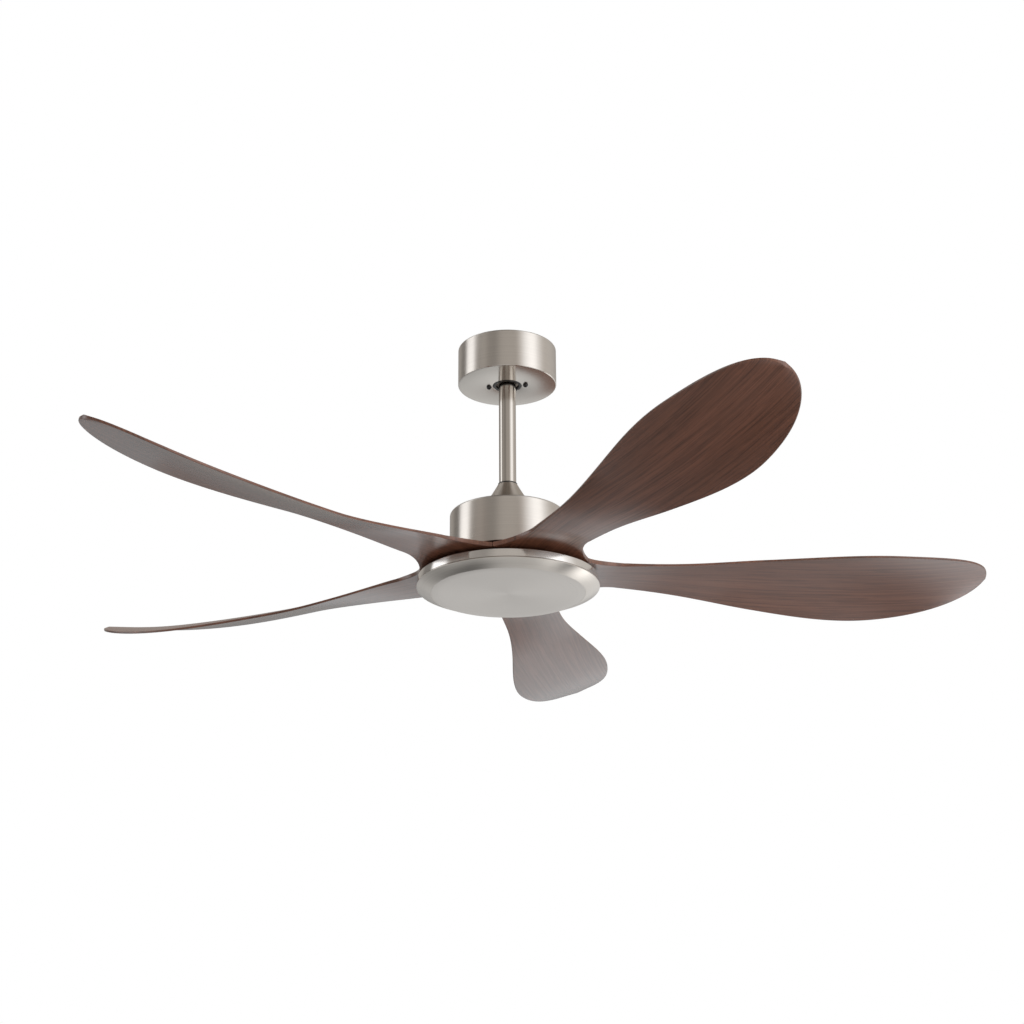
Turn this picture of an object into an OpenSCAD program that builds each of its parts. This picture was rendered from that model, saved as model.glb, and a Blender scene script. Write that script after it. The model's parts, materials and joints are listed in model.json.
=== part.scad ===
// Ceiling fan: five carved wooden blades on an outer-rotor motor, hung from a ball joint.
// The origin is on the ceiling, on the fan's axis, and everything hangs below it.

/* [Overall] */
// Diameter of the circle that the blade tips sweep
span = 1524; // [1370:2:1680]
// Drop from the ceiling to the underside of the cover disc
drop = 409; // [360:1:1200]
// Angle of the first blade from the line through the canopy's screws, at rest
rest_angle = 16.5; // [0:0.5:72]

/* [Canopy and ball joint] */
// Radius of the canopy
canopy_r = 77.5; // [76:0.5:90]
// Height of the canopy
canopy_h = 62; // [60:1:64]
// Thickness of the canopy's sheet
canopy_wall = 1; // [0.8:0.1:1.5]
// Radius of the hole that the rod comes out of
canopy_hole_r = 22.9; // [22:0.1:24]
// Distance of each canopy screw from the axis
canopy_screw_x = 29; // [28:0.5:31]
// Radius of the hanger ball
ball_r = 26; // [25.5:0.1:26.5]
// Depth of the ball's centre below the ceiling
ball_drop = 36; // [35:0.5:37]

/* [Mounting bracket] */
// Distance between the two slots for the outlet box's screws
slot_spacing = 89; // [83:1:92]
// Width of each slot
slot_w = 5.5; // [4.5:0.1:6]
// Length of each slot, end to end
slot_l = 14; // [10:1:16]

/* [Downrod] */
// Outside radius of the rod
rod_r = 13.35; // [13:0.05:13.4]
// Wall of the rod
rod_wall = 2.1; // [1.5:0.1:2.8]

/* [Coupling cover] */
// Height of the cover
cover_h = 49.3; // [48:0.1:55]
// Radius at its top
cover_top_r = 15.3; // [15:0.1:17]
// Radius at its foot
cover_foot_r = 46; // [44:1:60]

/* [Motor housing] */
// Radius of the housing
housing_r = 89.3; // [86:0.1:100]
// Height of the housing
housing_h = 72.9; // [70:0.1:90]
// Radius of the rounding at its top edge
housing_round = 4; // [2:0.5:8]
// Gap between the housing and the tops of the blade roots
housing_gap = 20.1; // [17:0.1:26]

/* [Blades] */
// Chord at the narrowest place
waist = 92.2; // [84:0.1:100]
// Chord that the blade widens to before its tip rounds it off
belly = 178.5; // [150:0.5:200]
// Distance of the waist from the axis
waist_x = 240; // [200:1:260]
// Distance from the axis at which the blade stops widening
belly_x = 598; // [560:1:640]
// Exponent of the curve that rounds the tip
tip_power = 7.48; // [4:0.01:10]
// Angle of the blade beyond its twist
pitch = 18; // [10:0.1:22]
// Distance from the axis at which the twist starts
twist_x0 = 120.7; // [112:0.1:140]
// Distance from the axis at which the twist ends
twist_x1 = 387.2; // [350:0.1:500]
// Rise of the blade just beyond its flat root
rise = 7.5; // [0:0.1:10]
// Distance from the axis at which that rise ends
rise_x = 167; // [140:1:200]
// Fall of the blade beyond its root, in degrees
droop = 1.6; // [0:0.05:3]
// Rise of the curled tip above the drooping line
curl = 40.9; // [0:0.1:60]
// Distance from the axis at which the curl starts
curl_x = 264.6; // [200:0.1:500]
// Exponent of the curl
curl_power = 3.58; // [2:0.01:5]
// Height of the arch across a blade's widest place
camber = 6; // [0:0.5:10]
// Radius from the axis to the hollow between two blades
crotch_r = 136.3; // [130:0.1:142]
// Thickness of the root
root_t = 6.9; // [4:0.1:8]
// Thickness at the edges beyond the root
edge_t = 3.5; // [2:0.1:5]
// How far the middle of the blade is thicker than its edges
crown = 3; // [0:0.5:6]
// Width of the seam between two blade roots
seam = 0.9; // [0.4:0.1:2]

/* [Bottom trim] */
// Radius of the flat cover disc
disc_r = 117.9; // [110:0.1:122]
// Outer radius of the bevelled ring
bevel_r = 139.4; // [136:0.1:145]
// Height of the bevel
bevel_h = 10.75; // [8:0.25:14]
// Radius of the polished band
band_r = 138.3; // [135:0.1:139]
// Height of the polished band
band_h = 12.3; // [10:0.1:16]
// Gap between the band and the undersides of the blade roots
blade_gap = 4.1; // [3.5:0.1:20]

/* [Hidden] */
$fn = 96;

// Clearances and overlaps
eps = 0.5;          // how far a cutter runs past the face that it cuts
fit = 0.05;         // radial clearance of a pin or screw in its hole
ball_play = 0.3;    // clearance of the ball in its seat
screw_short = 0.3;  // how far a screw's end stays inside what it is screwed into

// Colours
nickel = "#a49c93";
steel = "#8d8f92";
wood = "#5a3d31";
black = "#1c1c1c";
copper = "#b06a35";
green = "#3f7d4a";
pale = "#d8d4c8";
iron = "#6f7276";
magnet_grey = "#3a3a40";
bright = "#c9ccd0";

// Canopy and bracket
canopy_top = -1;
canopy_foot = canopy_top - canopy_h;
canopy_lip = 3;         // rounding of the canopy's top edge
canopy_corner = 1.5;    // rounding of its bottom edge
canopy_screw_r = 2;
plate_t = 2.5;
plate_l = 118;
plate_w = 40;
leg_x = 36;             // outer face of each leg
seat_top = -50;
seat_w = 60;
seat_gap_w = 28.4;      // way in for the rod, from the side
tab_w = 5;
tab_y = -21.5;          // face of the tab that stands in the ball's groove
tab_h = 8;
groove_w = 6;
groove_y = -18.5;       // bottom of the ball's groove, deep enough for the tilt
ball_top = 9;           // height of the ball's flat top above its centre
ground_at = [48, 13];
ground_head = [4, 2.4];  // radius and height of the ground screw's head
ring_lip = 0.4;         // how far the rubber ring stands below the canopy
ring_r = 18.2;          // its opening, clear of the tilted rod
ring_flange = 2.4;      // its flange, past the canopy's hole
bowl_head_r = 4.1;      // the canopy screws' round heads
receiver_size = [62, 38, 15];
receiver_recess = [16, 1.5, 6];
block_size = [12, 28, 14];
block_top = -12;
block_pitch = 9;        // between the terminal block's screws
block_hole = [1.8, 8];

// Ball's pins, measured from the ball's centre
cross_pin_r = 3;
cross_pin_z = 2;
cross_pin_l = 40;
set_screw_r = 2.5;
ball_screw_l = 9;

// Levels, from the underside of the cover disc up
under_z = -drop;
lip_z = under_z + bevel_h + 0.2;   // top of the bevelled ring's outer lip
band_z0 = lip_z + 0.25;
band_z1 = band_z0 + band_h;
blade_z0 = band_z1 + blade_gap;
blade_z1 = blade_z0 + root_t;
gasket_t = 1;
flange_z0 = blade_z1 + gasket_t;
flange_t = 4.6;
flange_z1 = flange_z0 + flange_t;
housing_z0 = blade_z1 + housing_gap;
housing_z1 = housing_z0 + housing_h;
housing_wall = 1.2;
rotor_z1 = housing_z1 - 17.5;       // the upper bearing's boss fits above it

// Shaft, rod and coupling
shaft_r = 8.5;
shaft_bore_r = 5;
shaft_collar_r = 13;        // carries the trim pan
shaft_collar_h = 3;
shaft_shoulder_r = 10.5;    // carries the lower bearing
shaft_z0 = under_z + 13;
shaft_z1 = housing_z1 + 11.5;
coupling_flange_r = 41;
coupling_flange_t = 4;
coupling_r = 20;
coupling_h = 28.5;
coupling_z1 = housing_z1 + coupling_h;
rod_z0 = housing_z1 + 13;   // the rod's foot, above the end of the shaft
rod_z1 = -ball_drop + ball_top + 2;
clevis_z = housing_z1 + 20;
clevis_r = 3.1;
clevis_l = 52;
clevis_head = [4.9, 2];     // radius and height of the pin's head
cotter_x = 22.5;
cotter_hole_r = 0.9;
coupling_screw_z = housing_z1 + 24.5;
coupling_screw_l = 8;
set_screw_socket = [1.4, 3];
housing_pcd = 60;
housing_screw_r = 2.2;
housing_screw_head = [4, 2.6];
housing_boss = [4.5, 4];    // radius and height of each boss under the housing's top
cover_wall = 0.8;
grommet_foot = 3;           // how far the grommet reaches down into the coupling cover
grommet_lip = [0.4, 2];     // its lip: in from the cover's edge, and how far it stands up
cover_bend = [7.9, -15.7];  // from the coupling cover's top to the point that its curve bends to

// Bearings: 17 mm bore, 40 mm outside, 12 mm wide
bearing_r = 20;
bearing_w = 12;
inner_race_r = 11.6;
outer_race_r = 16.4;
bearing_ball_r = 3.2;
bearing_pitch_r = 14;
bearing_ball_count = 8;
groove_play = 0.25;
bearing_lip_r = 15;         // opening in the lip that holds each bearing in its boss
bearing_lip_t = 2;
lower_bearing_z = flange_z0 + 2.6;
upper_bearing_z = rotor_z1 - bearing_lip_t;

// Outer-rotor motor
rotor_r = 79;
rotor_wall = 4;
magnet_t = 3.5;
magnet_count = 16;
magnet_h = 40;
magnet_spacing = 2;         // degrees between two magnets
air_gap = 0.9;
stator_r = rotor_r - rotor_wall - magnet_t - air_gap;
stator_bore_r = 11;
stator_hub_r = 28;
stator_h = 30;
stator_z0 = (flange_z1 + rotor_z1 - stator_h) / 2;
tooth_count = 12;
tooth_w = 7;
tooth_tip_t = 4;
tooth_tip_w = 25;
coil_t = 3.5;
coil_l = 22;
coil_gap = 3;               // between each coil and its tooth's tip
rotor_cover_t = 4;
flange_r = 84;
boss_r = 25;

// Blades
blade_count = 5;
tip_r = span / 2;
half_sector = 180 / blade_count;
root_x = 50;                       // inner end of each blade
crotch_x = crotch_r * cos(half_sector);
flare_r = (crotch_r * sin(half_sector) - waist / 2) / (1 - sin(half_sector));
flare_x = (crotch_r + flare_r) * cos(half_sector);
flare_y = (crotch_r + flare_r) * sin(half_sector);
root_mid_z = (blade_z0 + blade_z1) / 2;
blade_hole_r = 2.5;
blade_screw_r = 2.4;
blade_screw_head = [4.6, 2.6];
blade_screw_at = [[58, 0], [75, 20], [75, -20]];
gasket_x = [54, 80];
gasket_share = 0.8;                // part of the root's width that each gasket takes
tip_share = 0.9996;                // where the last section stands, as a part of the tip radius

// Bottom trim
pan_wall = 1;
pan_round = 1.5;
shaft_play = 0.2;           // round the shaft, in the parts stacked under the pan
disc_t = 1;
disc_gap = 0.3;             // line between the cover disc and the bevelled ring
disc_corner = 0.6;
disc_rim_h = 5;
ring_t = 1.2;
ring_flange_z = under_z + 6;
ring_flange_w = 6;          // of the inner flange, inside the posts
tongue_h = 3;               // the ring's upright edge, inside the band
post_at_r = 110;
post_r = 4;
post_count = 3;
post_screw_r = 1.6;
post_screw_head = [3.2, 2];
post_screw_l = 8;
plate_r = 80;
support_t = 1.6;
washer_r = 15;
washer_t = 1.4;
nut_r = 13.9;
nut_h = 6;
support_z = band_z1 - pan_wall - support_t;
washer_z = support_z - washer_t;
board_size = [84, 46, 1.6];
board_at = [-42, 24];
board_h = 9;                // above the disc's underside
board_inset = 4;            // of the posts that it hangs on

// ---- shared shapes ----

function arc(cx, cy, r, a0, a1, n) =
    [for (i = [0 : n]) let (a = a0 + (a1 - a0) * i / n) [cx + r * cos(a), cy + r * sin(a)]];

function bezier(a, b, c, n) =
    [for (i = [0 : n]) let (t = i / n) a * pow(1 - t, 2) + b * 2 * t * (1 - t) + c * t * t];

module ring(r_out, r_in, z0, z1) {
    difference() {
        translate([0, 0, z0]) cylinder(r = r_out, h = z1 - z0);
        translate([0, 0, z0 - eps]) cylinder(r = r_in, h = z1 - z0 + 2 * eps);
    }
}

module around(count, start = 0) {
    for (i = [0 : count - 1]) rotate([0, 0, start + 360 * i / count]) children();
}

// A screw whose head sits under z = 0 and whose shank goes up
module screw_up(r, l, head_r, head_h) {
    translate([0, 0, -head_h]) cylinder(r = head_r, h = head_h);
    translate([0, 0, -eps]) cylinder(r = r, h = l + eps);
}

// A headless screw with a hexagon socket in its upper end
module set_screw(l) {
    socket = set_screw_socket;
    difference() {
        cylinder(r = set_screw_r, h = l);
        translate([0, 0, l - socket[1]]) cylinder(r = socket[0], h = socket[1] + eps, $fn = 6);
    }
}

// ---- ceiling mount ----

module slot(l, w, h) {
    for (side = [-1, 1]) translate([side * (l - w) / 2, 0, 0]) cylinder(r = w / 2, h = h);
    translate([-(l - w) / 2, -w / 2, 0]) cube([l - w, w, h]);
}

module ceiling_bracket() {
    color(steel) {
        difference() {
            union() {
                translate([-plate_l / 2, -plate_w / 2, -plate_t]) cube([plate_l, plate_w, plate_t]);
                for (x = [-leg_x, leg_x - plate_t])
                    translate([x, -plate_w / 2, seat_top - plate_t])
                        cube([plate_t, plate_w, -seat_top]);
                translate([-leg_x, -seat_w / 2, seat_top - plate_t])
                    cube([2 * leg_x, seat_w, plate_t]);
            }
            for (side = [-1, 1]) {
                translate([side * slot_spacing / 2, 0, -plate_t - eps])
                    slot(slot_l, slot_w, plate_t + 2 * eps);
                translate([side * canopy_screw_x, 0, seat_top - plate_t - eps])
                    cylinder(r = canopy_screw_r + fit, h = plate_t + 2 * eps);
            }
            translate([ground_at[0], ground_at[1], -plate_t - eps])
                cylinder(r = canopy_screw_r + fit, h = plate_t + 2 * eps);
            translate([0, 0, -ball_drop]) sphere(r = ball_r + ball_play);
            translate([-seat_gap_w / 2, 0, seat_top - plate_t - eps])
                cube([seat_gap_w, seat_w, plate_t + 2 * eps]);
        }
        translate([-tab_w / 2, -seat_w / 2, seat_top - plate_t])
            cube([tab_w, seat_w / 2 + tab_y, plate_t + tab_h]);
    }
}

module canopy() {
    top = canopy_top;
    foot = canopy_foot;
    wall = canopy_wall;
    profile = concat(
        arc(canopy_r - canopy_lip, top - canopy_lip, canopy_lip, 90, 0, 6),
        arc(canopy_r - canopy_corner, foot + canopy_corner, canopy_corner, 0, -90, 4),
        [[canopy_hole_r, foot], [canopy_hole_r, foot + wall]],
        arc(canopy_r - canopy_corner, foot + canopy_corner, canopy_corner - wall, -90, 0, 2),
        arc(canopy_r - canopy_lip, top - canopy_lip, canopy_lip - wall, 0, 90, 4)
    );
    color(nickel) difference() {
        rotate_extrude() polygon(profile);
        for (side = [-1, 1])
            translate([side * canopy_screw_x, 0, foot - eps])
                cylinder(r = canopy_screw_r + 2 * fit, h = wall + 2 * eps);
    }
}

module canopy_ring() {
    flange = canopy_hole_r + ring_flange;
    z0 = canopy_foot - ring_lip;
    z1 = canopy_foot + canopy_wall;
    t = 1.6;
    color(black) rotate_extrude() polygon([
        [ring_r, z0], [canopy_hole_r - fit, z0], [canopy_hole_r - fit, z1],
        [flange, z1], [flange, z1 + t], [ring_r, z1 + 2 * t]
    ]);
}

// Round-headed, from under the canopy into the bracket's seat
module canopy_screws() {
    color(black) for (side = [-1, 1]) translate([side * canopy_screw_x, 0, canopy_foot]) {
        intersection() {
            sphere(r = bowl_head_r);
            translate([0, 0, -bowl_head_r]) cylinder(r = bowl_head_r + 1, h = bowl_head_r);
        }
        translate([0, 0, -eps]) cylinder(r = canopy_screw_r, h = seat_top - canopy_foot + 1);
    }
}

// Radio receiver, with a shallow recess for its switches
module receiver() {
    size = receiver_size;
    recess = receiver_recess;
    color(black) translate([-size[0] / 2, -size[1] / 2, -plate_t - size[2]]) difference() {
        cube(size);
        translate([(size[0] - recess[0]) / 2, -eps, (size[2] - recess[2]) / 2])
            cube(recess + [0, eps, 0]);
    }
}

module terminal_block() {
    size = block_size;
    depth = block_hole[1];
    color(pale) difference() {
        translate([leg_x, -size[1] / 2, block_top - size[2]]) cube(size);
        for (k = [-1 : 1])
            translate([leg_x + size[0] / 2, k * block_pitch, block_top - depth])
                cylinder(r = block_hole[0], h = depth + eps);
    }
}

module ground_screw() {
    color(green) translate([ground_at[0], ground_at[1], -plate_t])
        screw_up(canopy_screw_r, plate_t - screw_short, ground_head[0], ground_head[1]);
}

// ---- ball, rod and lead ----

module hanger_ball() {
    color(nickel) translate([0, 0, -ball_drop]) difference() {
        intersection() {
            sphere(r = ball_r);
            translate([0, 0, -ball_r]) cylinder(r = ball_r + 1, h = ball_r + ball_top);
        }
        translate([0, 0, -ball_r - eps]) cylinder(r = rod_r + fit, h = 2 * ball_r);
        translate([-groove_w / 2, -ball_r - eps, -ball_r - eps])
            cube([groove_w, ball_r + groove_y + eps, 2 * ball_r]);
        translate([-ball_r, 0, cross_pin_z])
            rotate([0, 90, 0]) cylinder(r = cross_pin_r + fit, h = 2 * ball_r);
        rotate([-90, 0, 0]) cylinder(r = set_screw_r + fit, h = ball_r + 1);
    }
}

module ball_cross_pin() {
    color(steel) translate([-cross_pin_l / 2, 0, cross_pin_z - ball_drop])
        rotate([0, 90, 0]) cylinder(r = cross_pin_r, h = cross_pin_l);
}

module ball_set_screw() {
    color(black) translate([0, rod_r + fit, -ball_drop]) rotate([-90, 0, 0])
        set_screw(ball_screw_l);
}

module downrod() {
    color(nickel) difference() {
        ring(rod_r, rod_r - rod_wall, rod_z0, rod_z1);
        for (hole = [[cross_pin_r, cross_pin_z - ball_drop], [clevis_r, clevis_z]])
            translate([-rod_r - eps, 0, hole[1]])
                rotate([0, 90, 0]) cylinder(r = hole[0] + fit, h = 2 * (rod_r + eps));
    }
}

// The lead runs beside the two cross pins, then down the middle of the hollow shaft
lead_r = 2.6;
lead_y = 7.2;
lead_route = [
    [lead_y, rod_z1], [lead_y, clevis_z], [lead_y, clevis_z - 3], [5.6, clevis_z - 5.5],
    [3.2, clevis_z - 8], [1.4, clevis_z - 10.5], [0.3, clevis_z - 13], [0, clevis_z - 16],
    [0, shaft_z0 - 2]
];

module motor_lead() {
    sides = 10;
    last = len(lead_route) - 1;
    points = [for (p = lead_route) for (i = [0 : sides - 1])
        let (a = 360 * i / sides) [lead_r * cos(a), p[0] + lead_r * sin(a), p[1]]];
    walls = [for (k = [0 : last - 1]) for (i = [0 : sides - 1])
        let (j = (i + 1) % sides)
            [k * sides + i, k * sides + j, (k + 1) * sides + j, (k + 1) * sides + i]];
    top = [for (i = [0 : sides - 1]) sides - 1 - i];
    foot = [for (i = [0 : sides - 1]) last * sides + i];
    color(black) polyhedron(points, concat(walls, [top, foot]));
}

module lead_plug() {
    size = [12, 7, 4.5];
    color(pale) translate([-size[0] / 2, lead_y - size[1] / 2, rod_z1]) cube(size);
}

// ---- coupling ----

module coupling_cover() {
    z0 = housing_z1 + 0.2;
    z1 = z0 + cover_h;
    steps = 12;
    outside = bezier([cover_top_r, z1], [cover_top_r, z1] + cover_bend, [cover_foot_r, z0], steps);
    inside = [for (i = [steps : -1 : 0]) outside[i] - [cover_wall, 0]];
    color(nickel) rotate_extrude() polygon(concat(outside, inside));
}

module cover_grommet() {
    z1 = housing_z1 + 0.2 + cover_h;
    inside = cover_top_r - cover_wall - fit;
    edge = cover_top_r - grommet_lip[0];
    color(black) rotate_extrude() polygon([
        [rod_r + fit, z1 - grommet_foot], [inside, z1 - grommet_foot], [inside, z1],
        [edge, z1], [edge, z1 + grommet_lip[1]], [rod_r + fit, z1 + grommet_lip[1]]
    ]);
}

module shaft_coupling() {
    color(steel) difference() {
        union() {
            translate([0, 0, housing_z1]) cylinder(r = coupling_flange_r, h = coupling_flange_t);
            translate([0, 0, housing_z1]) cylinder(r = coupling_r, h = coupling_z1 - housing_z1);
        }
        translate([0, 0, housing_z1 - eps])
            cylinder(r = shaft_r + fit, h = shaft_z1 - housing_z1 + eps);
        translate([0, 0, housing_z1]) cylinder(r = shaft_bore_r, h = rod_z0 - housing_z1 + eps);
        translate([0, 0, rod_z0]) cylinder(r = rod_r + fit, h = coupling_z1 - rod_z0 + eps);
        translate([-coupling_r - eps, 0, clevis_z])
            rotate([0, 90, 0]) cylinder(r = clevis_r + fit, h = 2 * (coupling_r + eps));
        translate([0, -coupling_r - eps, coupling_screw_z])
            rotate([-90, 0, 0]) cylinder(r = set_screw_r + fit, h = 2 * (coupling_r + eps));
        around(4, 45) translate([housing_pcd / 2, 0, housing_z1 - eps])
            cylinder(r = housing_screw_r + fit, h = coupling_flange_t + 2 * eps);
    }
}

module clevis_pin() {
    color(steel) translate([-clevis_l / 2, 0, clevis_z]) rotate([0, 90, 0]) difference() {
        union() {
            cylinder(r = clevis_r, h = clevis_l);
            cylinder(r = clevis_head[0], h = clevis_head[1]);
        }
        translate([-clevis_r - eps, 0, clevis_l / 2 + cotter_x])
            rotate([0, 90, 0]) cylinder(r = cotter_hole_r, h = 2 * (clevis_r + eps));
    }
}

module cotter_pin() {
    wire = cotter_hole_r - 0.1;
    eye = 4 * wire;
    below = 5;              // how far the legs stand out under the pin
    color(steel) translate([cotter_x, 0, clevis_z]) {
        translate([0, 0, -clevis_r - below]) cylinder(r = wire, h = 2 * clevis_r + below + 1);
        translate([0, 0, clevis_r + eye + eps]) rotate([0, 90, 0])
            ring(eye, eye - 2 * wire, -wire, wire);
    }
}

module coupling_set_screws() {
    color(black) around(2, 90) translate([rod_r + fit, 0, coupling_screw_z])
        rotate([0, 90, 0]) set_screw(coupling_screw_l);
}

// ---- motor housing ----

module motor_housing() {
    z0 = housing_z0;
    z1 = housing_z1;
    wall = housing_wall;
    c = housing_round;
    hole = shaft_r + 2;
    lip = 1.5;
    boss = housing_boss[1];
    profile = concat(
        [[hole, z1]],
        arc(housing_r - c, z1 - c, c, 90, 0, 6),
        [[housing_r, z0], [housing_r - lip, z0], [housing_r - wall, z0 + lip]],
        arc(housing_r - c, z1 - c, c - wall, 0, 90, 6),
        [[hole, z1 - wall]]
    );
    color(nickel) difference() {
        union() {
            rotate_extrude() polygon(profile);
            around(4, 45) translate([housing_pcd / 2, 0, z1 - boss])
                cylinder(r = housing_boss[0], h = boss - wall / 2);
        }
        around(4, 45) translate([housing_pcd / 2, 0, z1 - boss - eps])
            cylinder(r = housing_screw_r + fit, h = boss + 2 * eps);
    }
}

module housing_screws() {
    color(steel) around(4, 45)
        translate([housing_pcd / 2, 0, housing_z1 + coupling_flange_t])
            rotate([180, 0, 0])
                screw_up(housing_screw_r, coupling_flange_t + housing_boss[1] - screw_short,
                    housing_screw_head[0], housing_screw_head[1]);
}

module motor_shaft() {
    z = [shaft_z0, band_z1, band_z1 + shaft_collar_h, lower_bearing_z,
        lower_bearing_z + bearing_w, upper_bearing_z, shaft_z1];
    r = [shaft_r, shaft_collar_r, shaft_shoulder_r, shaft_r, stator_bore_r, shaft_r];
    last = len(r) - 1;
    color(steel) difference() {
        rotate_extrude() polygon(concat(
            [[0, shaft_z0]],
            [for (i = [0 : last]) for (end = [0, 1]) [r[i], z[i + end]]],
            [[0, shaft_z1]]
        ));
        translate([0, 0, shaft_z0 - eps])
            cylinder(r = shaft_bore_r, h = shaft_z1 - shaft_z0 + 2 * eps);
    }
}

// ---- stator ----

module stator_core() {
    color(iron) translate([0, 0, stator_z0]) linear_extrude(stator_h) difference() {
        union() {
            circle(r = stator_hub_r);
            intersection() {
                circle(r = stator_r);
                around(tooth_count) {
                    translate([0, -tooth_w / 2]) square([stator_r + 1, tooth_w]);
                    translate([stator_r - tooth_tip_t, -tooth_tip_w / 2])
                        square([tooth_tip_t + 1, tooth_tip_w]);
                }
            }
        }
        circle(r = stator_bore_r + fit);
    }
}

module windings() {
    x0 = stator_r - tooth_tip_t - coil_gap - coil_l;
    outer = [coil_l, tooth_w + 2 * coil_t, stator_h + 2 * coil_t];
    inner = [coil_l + 2 * eps, tooth_w + 2 * fit, stator_h + 2 * fit];
    color(copper) around(tooth_count) translate([x0, 0, stator_z0 + stator_h / 2]) difference() {
        translate([0, -outer[1] / 2, -outer[2] / 2]) cube(outer);
        translate([-eps, -inner[1] / 2, -inner[2] / 2]) cube(inner);
    }
}

// ---- bearings ----

module race(r_out, r_in, z) {
    difference() {
        ring(r_out, r_in, z, z + bearing_w);
        translate([0, 0, z + bearing_w / 2]) rotate_extrude()
            translate([bearing_pitch_r, 0]) circle(r = bearing_ball_r + groove_play);
    }
}

module upper_bearing_inner() { color(steel) race(inner_race_r, shaft_r + fit, upper_bearing_z); }
module upper_bearing_outer() { color(steel) race(bearing_r, outer_race_r, upper_bearing_z); }
module lower_bearing_inner() { color(steel) race(inner_race_r, shaft_r + fit, lower_bearing_z); }
module lower_bearing_outer() { color(steel) race(bearing_r, outer_race_r, lower_bearing_z); }

module bearing_balls() {
    color(bright) for (z = [upper_bearing_z, lower_bearing_z])
        around(bearing_ball_count) translate([bearing_pitch_r, 0, z + bearing_w / 2])
            sphere(r = bearing_ball_r);
}

// ---- rotor ----

module rotor_top_cover() {
    color(steel) difference() {
        union() {
            translate([0, 0, rotor_z1]) cylinder(r = rotor_r, h = rotor_cover_t);
            translate([0, 0, rotor_z1]) cylinder(r = boss_r, h = bearing_w);
        }
        translate([0, 0, rotor_z1 - eps])
            cylinder(r = bearing_r + fit, h = bearing_w - bearing_lip_t + eps);
        translate([0, 0, rotor_z1]) cylinder(r = bearing_lip_r, h = bearing_w + eps);
    }
}

module rotor_ring() {
    color(black) ring(rotor_r, rotor_r - rotor_wall, flange_z1, rotor_z1);
}

module magnets() {
    r1 = rotor_r - rotor_wall - fit;
    arc_deg = 360 / magnet_count - magnet_spacing;
    z0 = (flange_z1 + rotor_z1 - magnet_h) / 2;
    color(magnet_grey) around(magnet_count) translate([0, 0, z0])
        rotate_extrude(angle = arc_deg) translate([r1 - magnet_t + fit, 0])
            square([magnet_t - fit, magnet_h]);
}

module rotor_flange() {
    color(black) difference() {
        union() {
            translate([0, 0, flange_z0]) cylinder(r = flange_r, h = flange_t);
            translate([0, 0, flange_z0])
                cylinder(r = boss_r, h = lower_bearing_z - flange_z0 + bearing_w);
        }
        translate([0, 0, lower_bearing_z]) cylinder(r = bearing_r + fit, h = bearing_w + eps);
        translate([0, 0, flange_z0 - eps]) cylinder(r = bearing_lip_r, h = bearing_w);
        around(blade_count, rest_angle) for (at = blade_screw_at)
            translate([at[0], at[1], flange_z0 - eps])
                cylinder(r = blade_screw_r + fit, h = flange_t + 2 * eps);
    }
}

module blade_gaskets() {
    t = tan(half_sector) * gasket_share;
    x = gasket_x;
    color(black) translate([0, 0, blade_z1]) around(blade_count, rest_angle)
        linear_extrude(gasket_t) difference() {
            polygon([[x[0], -t * x[0]], [x[1], -t * x[1]], [x[1], t * x[1]], [x[0], t * x[0]]]);
            for (at = blade_screw_at) translate(at) circle(r = blade_hole_r);
        }
}

module blade_screws() {
    color(steel) around(blade_count, rest_angle) for (at = blade_screw_at)
        translate([at[0], at[1], blade_z0])
            screw_up(blade_screw_r, root_t + gasket_t + flange_t - 2 * screw_short,
                blade_screw_head[0], blade_screw_head[1]);
}

// ---- blades ----

function smooth(t) = let (c = min(max(t, 0), 1)) c * c * (3 - 2 * c);

function blade_pitch(x) = pitch * smooth((x - twist_x0) / (twist_x1 - twist_x0));

// Height of the middle of the section: a flat root, a rise, a slight fall and the curl
function blade_z(x) = root_mid_z
    + rise * (1 - pow(1 - min(max((x - crotch_x) / (rise_x - crotch_x), 0), 1), 2))
    - tan(droop) * max(x - crotch_x, 0)
    + curl * pow(max(x - curl_x, 0) / (tip_r - curl_x), curl_power);

// Half of the chord: the root is cut on the line between two blades, a fillet runs from there
// to the waist, then the blade widens and its tip closes
function half_chord(x) =
    x <= crotch_x ? x * tan(half_sector) - seam / 2 / cos(half_sector)
    : (x < flare_x ? flare_y - sqrt(pow(flare_r, 2) - pow(flare_x - x, 2)) - seam / 2
        : waist / 2 + (belly - waist) / 2 * smooth((x - waist_x) / (belly_x - waist_x)))
        * sqrt(1 - pow(x / tip_r, tip_power));

function blade_edge(x) = edge_t + (root_t - edge_t) * smooth((waist_x - x) / (waist_x - crotch_x));

// The arch's height is this times the square of half of the chord
function blade_arch(x) = 4 * camber / pow(belly, 2)
    * smooth((x - crotch_r) / (waist_x - crotch_r));

// Rounded, crowned and arched section, as [place across the chord, height] from the low edge round
function section(x) =
    let (h = half_chord(x), e = blade_edge(x), k = crown / 2 * smooth((x - crotch_x) / crotch_x),
        side = min(e / 2, h / 3), a = blade_arch(x),
        across = [-h, -h + side, -h * 0.6, -h * 0.2, h * 0.2, h * 0.6, h - side, h],
        height = [for (s = across) (abs(s) > h - side / 2 ? e / 4 : e / 2)
            + k * (1 - pow(s / h, 2))])
    concat(
        [for (i = [0 : 7]) [across[i], height[i] + a * (pow(h, 2) - pow(across[i], 2))]],
        [for (i = [7 : -1 : 0]) [across[i], -height[i] + a * (pow(h, 2) - pow(across[i], 2))]]
    );

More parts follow.
